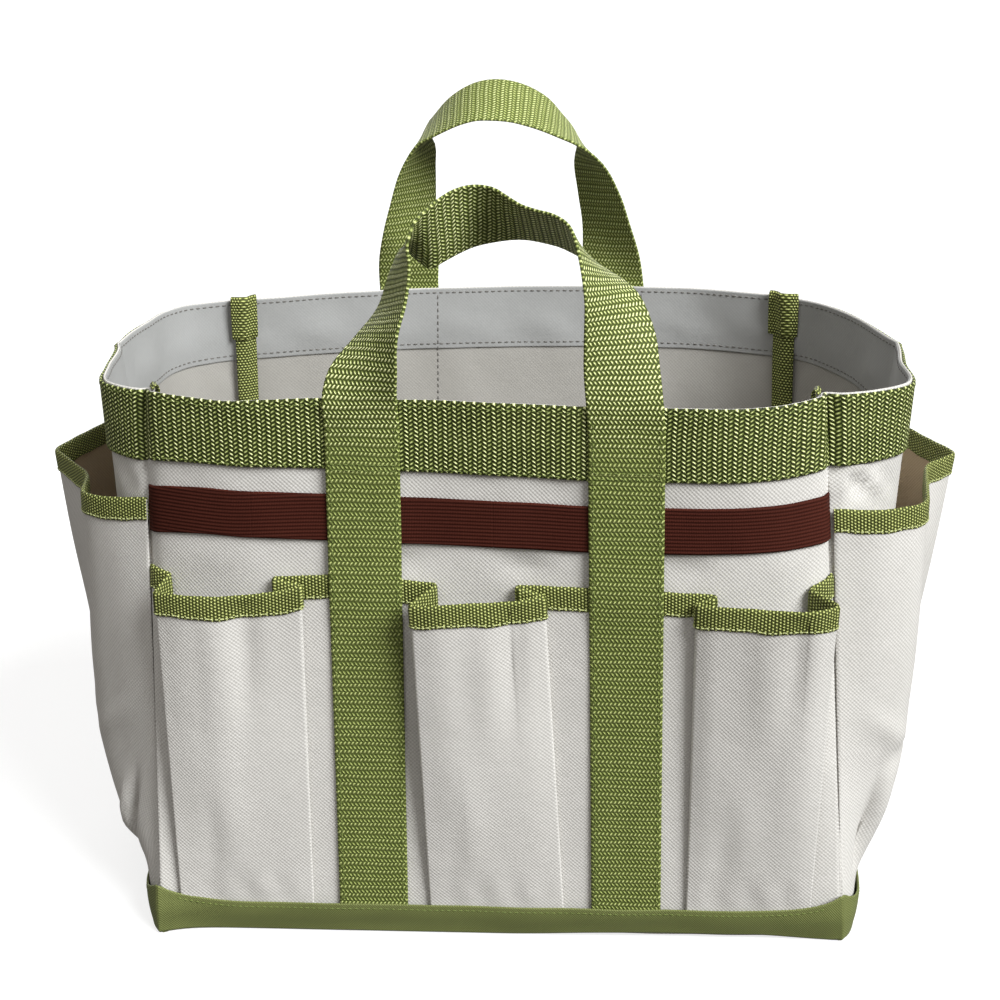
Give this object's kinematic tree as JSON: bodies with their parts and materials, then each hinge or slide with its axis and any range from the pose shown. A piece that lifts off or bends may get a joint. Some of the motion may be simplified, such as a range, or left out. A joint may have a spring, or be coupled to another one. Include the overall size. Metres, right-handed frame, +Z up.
{
  "type": "garden tool bag",
  "caption": "Open-topped canvas tool bag with webbing rim, two folding webbing handles, pleated tool pockets, elastic tool loops, bellows end pockets and a stiffened base.",
  "frame": {"origin": "middle of the underside of the base, on the floor", "axes": "+Z up, front towards -Y, +X to the right along the width"},
  "size_m": [0.523, 0.3057, 0.4407],
  "materials": {
    "canvas": "plain-weave polyester canvas, matt",
    "webbing": "ribbed polypropylene webbing with a slight sheen",
    "base_cloth": "plain-weave polyester canvas, matt",
    "binding": "ribbed binding tape, folded and sewn",
    "elastic": "ribbed woven elastic",
    "board": "plain stiffening board",
    "lining": "coated canvas, satin"
  },
  "bodies": {
    "bag": {"front_panel": "canvas", "back_panel": "canvas", "left_end_panel": "canvas", "right_end_panel": "canvas", "base_panel": "base_cloth", "front_base_band": "base_cloth", "back_base_band": "base_cloth", "left_base_band": "base_cloth", "right_base_band": "base_cloth", "base_board": "board", "floor_lining": "lining", "front_rim_band": "webbing", "back_rim_band": "webbing", "left_rim_band": "webbing", "right_rim_band": "webbing", "front_left_corner_binding": "binding", "front_right_corner_binding": "binding", "back_left_corner_binding": "binding", "back_right_corner_binding": "binding", "front_left_strap": "webbing", "front_right_strap": "webbing", "back_left_strap": "webbing", "back_right_strap": "webbing", "front_pocket_web": "canvas", "back_pocket_web": "canvas", "front_web_binding": "binding", "back_web_binding": "binding", "front_left_pleats": "canvas", "front_centre_pleats": "canvas", "front_right_pleats": "canvas", "back_left_pleats": "canvas", "back_centre_pleats": "canvas", "back_right_pleats": "canvas", "left_end_gussets": "canvas", "right_end_gussets": "canvas"},
    "front_carry_handle": {"front_handle": "webbing"},
    "back_carry_handle": {"back_handle": "webbing"},
    "front_left_pocket_mouth": {"front_left_pocket": "canvas", "front_left_pocket_binding": "binding"},
    "front_centre_pocket_mouth": {"front_centre_pocket": "canvas", "front_centre_pocket_binding": "binding"},
    "front_right_pocket_mouth": {"front_right_pocket": "canvas", "front_right_pocket_binding": "binding"},
    "back_left_pocket_mouth": {"back_left_pocket": "canvas", "back_left_pocket_binding": "binding"},
    "back_centre_pocket_mouth": {"back_centre_pocket": "canvas", "back_centre_pocket_binding": "binding"},
    "back_right_pocket_mouth": {"back_right_pocket": "canvas", "back_right_pocket_binding": "binding"},
    "left_end_pocket_mouth": {"left_end_pocket": "canvas", "left_end_pocket_binding": "binding"},
    "right_end_pocket_mouth": {"right_end_pocket": "canvas", "right_end_pocket_binding": "binding"},
    "front_left_elastic_loop": {"front_left_elastic": "elastic"},
    "front_centre_elastic_loop": {"front_centre_elastic": "elastic"},
    "front_right_elastic_loop": {"front_right_elastic": "elastic"},
    "back_left_elastic_loop": {"back_left_elastic": "elastic"},
    "back_centre_elastic_loop": {"back_centre_elastic": "elastic"},
    "back_right_elastic_loop": {"back_right_elastic": "elastic"}
  },
  "joints": [
    {"name": "front_handle_fold", "type": "hinge", "parent": "bag", "child": "front_carry_handle", "pos_m": [0, -0.13266, 0.307], "axis": [1, 0, 0], "range_deg": [-70, 135]},
    {"name": "back_handle_fold", "type": "hinge", "parent": "bag", "child": "back_carry_handle", "pos_m": [0, 0.14247, 0.307], "axis": [-1, 0, 0], "range_deg": [-70, 135]},
    {"name": "front_left_pocket_open", "type": "hinge", "parent": "bag", "child": "front_left_pocket_mouth", "pos_m": [-0.137, -0.1266, 0.021], "axis": [1, 0, 0], "range_deg": [-1.5, 5], "stiffness_Nm_per_rad": 0.05, "deforming": ["front_left_pleats"]},
    {"name": "front_centre_pocket_open", "type": "hinge", "parent": "bag", "child": "front_centre_pocket_mouth", "pos_m": [0, -0.12701, 0.021], "axis": [1, 0, 0], "range_deg": [-1.5, 5], "stiffness_Nm_per_rad": 0.05, "deforming": ["front_centre_pleats"]},
    {"name": "front_right_pocket_open", "type": "hinge", "parent": "bag", "child": "front_right_pocket_mouth", "pos_m": [0.137, -0.1266, 0.021], "axis": [1, 0, 0], "range_deg": [-1.5, 5], "stiffness_Nm_per_rad": 0.05, "deforming": ["front_right_pleats"]},
    {"name": "back_left_pocket_open", "type": "hinge", "parent": "bag", "child": "back_left_pocket_mouth", "pos_m": [-0.137, 0.1271, 0.021], "axis": [-1, 0, 0], "range_deg": [-1.5, 5], "stiffness_Nm_per_rad": 0.05, "deforming": ["back_left_pleats"]},
    {"name": "back_centre_pocket_open", "type": "hinge", "parent": "bag", "child": "back_centre_pocket_mouth", "pos_m": [0, 0.1277, 0.021], "axis": [-1, 0, 0], "range_deg": [-1.5, 5], "stiffness_Nm_per_rad": 0.05, "deforming": ["back_centre_pleats"]},
    {"name": "back_right_pocket_open", "type": "hinge", "parent": "bag", "child": "back_right_pocket_mouth", "pos_m": [0.137, 0.1271, 0.021], "axis": [-1, 0, 0], "range_deg": [-1.5, 5], "stiffness_Nm_per_rad": 0.05, "deforming": ["back_right_pleats"]},
    {"name": "left_end_pocket_open", "type": "hinge", "parent": "bag", "child": "left_end_pocket_mouth", "pos_m": [-0.20298, 0, 0.021], "axis": [0, -1, 0], "range_deg": [-4, 3], "stiffness_Nm_per_rad": 0.1, "deforming": ["left_end_gussets"]},
    {"name": "right_end_pocket_open", "type": "hinge", "parent": "bag", "child": "right_end_pocket_mouth", "pos_m": [0.20298, 0, 0.021], "axis": [0, 1, 0], "range_deg": [-4, 3], "stiffness_Nm_per_rad": 0.1, "deforming": ["right_end_gussets"]},
    {"name": "front_left_elastic_stretch", "type": "slide", "parent": "bag", "child": "front_left_elastic_loop", "axis": [0, -1, 0], "range_m": [0, 0.012], "stiffness_N_per_m": 200},
    {"name": "front_centre_elastic_stretch", "type": "slide", "parent": "bag", "child": "front_centre_elastic_loop", "axis": [0, -1, 0], "range_m": [0, 0.012], "stiffness_N_per_m": 200},
    {"name": "front_right_elastic_stretch", "type": "slide", "parent": "bag", "child": "front_right_elastic_loop", "axis": [0, -1, 0], "range_m": [0, 0.012], "stiffness_N_per_m": 200},
    {"name": "back_left_elastic_stretch", "type": "slide", "parent": "bag", "child": "back_left_elastic_loop", "axis": [0, 1, 0], "range_m": [0, 0.012], "stiffness_N_per_m": 200},
    {"name": "back_centre_elastic_stretch", "type": "slide", "parent": "bag", "child": "back_centre_elastic_loop", "axis": [0, 1, 0], "range_m": [0, 0.012], "stiffness_N_per_m": 200},
    {"name": "back_right_elastic_stretch", "type": "slide", "parent": "bag", "child": "back_right_elastic_loop", "axis": [0, 1, 0], "range_m": [0, 0.012], "stiffness_N_per_m": 200}
  ]
}
